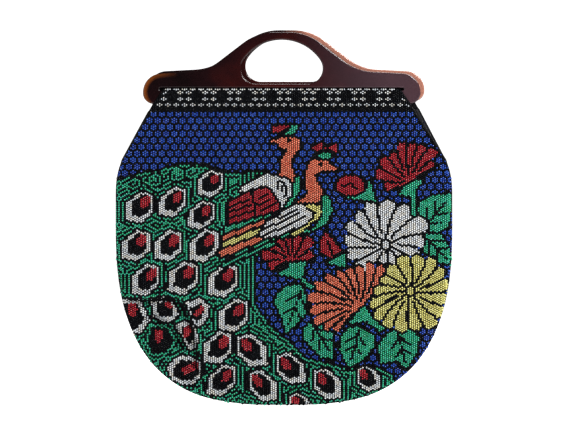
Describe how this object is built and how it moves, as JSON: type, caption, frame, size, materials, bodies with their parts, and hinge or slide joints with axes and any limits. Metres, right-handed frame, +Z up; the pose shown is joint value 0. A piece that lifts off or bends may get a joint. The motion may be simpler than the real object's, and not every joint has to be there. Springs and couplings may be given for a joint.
{
  "type": "beaded handbag",
  "caption": "Flat beadwork handbag with a bird-and-flower picture, side slits and a pair of moulded tortoiseshell-look handles that flop outward",
  "frame": {"origin": "midway between the undersides of the two grips, where a hand or hook bears when the bag is carried", "axes": "+Z up from the pouch to the grips, +X to the right seen from the front, -Y out of the front of the bag"},
  "size_m": [0.387, 0.0362, 0.4312],
  "materials": {
    "handle_plastic": "glossy mottled tortoiseshell, dark red-brown with amber rims",
    "beadwork": "glossy round glass seed beads on black thread, in a many-coloured picture",
    "header_beadwork": "glossy black glass seed beads with small white florets",
    "lining": "plain black woven lining, slight sheen",
    "piping": "black twisted cord piping",
    "thread": "black sewing thread",
    "seam_tape": "black cotton tape"
  },
  "bodies": {
    "pouch": {"front_panel": "beadwork", "rear_panel": "beadwork", "front_lining": "lining", "rear_lining": "lining", "pouch_seam": "seam_tape", "left_bar_tack": "thread", "right_bar_tack": "thread"},
    "front_flap": {"front_flap_cloth": "beadwork", "front_flap_lining": "lining", "front_left_binding": "piping", "front_right_binding": "piping"},
    "front_handle": {"front_handle": "handle_plastic", "front_header_sleeve": "header_beadwork", "front_sleeve_stitches": "thread"},
    "rear_flap": {"rear_flap_cloth": "beadwork", "rear_flap_lining": "lining", "rear_left_binding": "piping", "rear_right_binding": "piping"},
    "rear_handle": {"rear_handle": "handle_plastic", "rear_header_sleeve": "header_beadwork", "rear_sleeve_stitches": "thread"}
  },
  "joints": [
    {"name": "front_flap_fold", "type": "hinge", "parent": "pouch", "child": "front_flap", "pos_m": [0, -0.01175, -0.14], "axis": [1, 0, 0], "range_deg": [0, 50]},
    {"name": "front_handle_fold", "type": "hinge", "parent": "front_flap", "child": "front_handle", "pos_m": [0, -0.00845, -0.08445], "axis": [1, 0, 0], "range_deg": [0, 110]},
    {"name": "rear_flap_fold", "type": "hinge", "parent": "pouch", "child": "rear_flap", "pos_m": [0, 0.01175, -0.14], "axis": [-1, 0, 0], "range_deg": [0, 50]},
    {"name": "rear_handle_fold", "type": "hinge", "parent": "rear_flap", "child": "rear_handle", "pos_m": [0, 0.00845, -0.08095], "axis": [-1, 0, 0], "range_deg": [0, 110]}
  ]
}
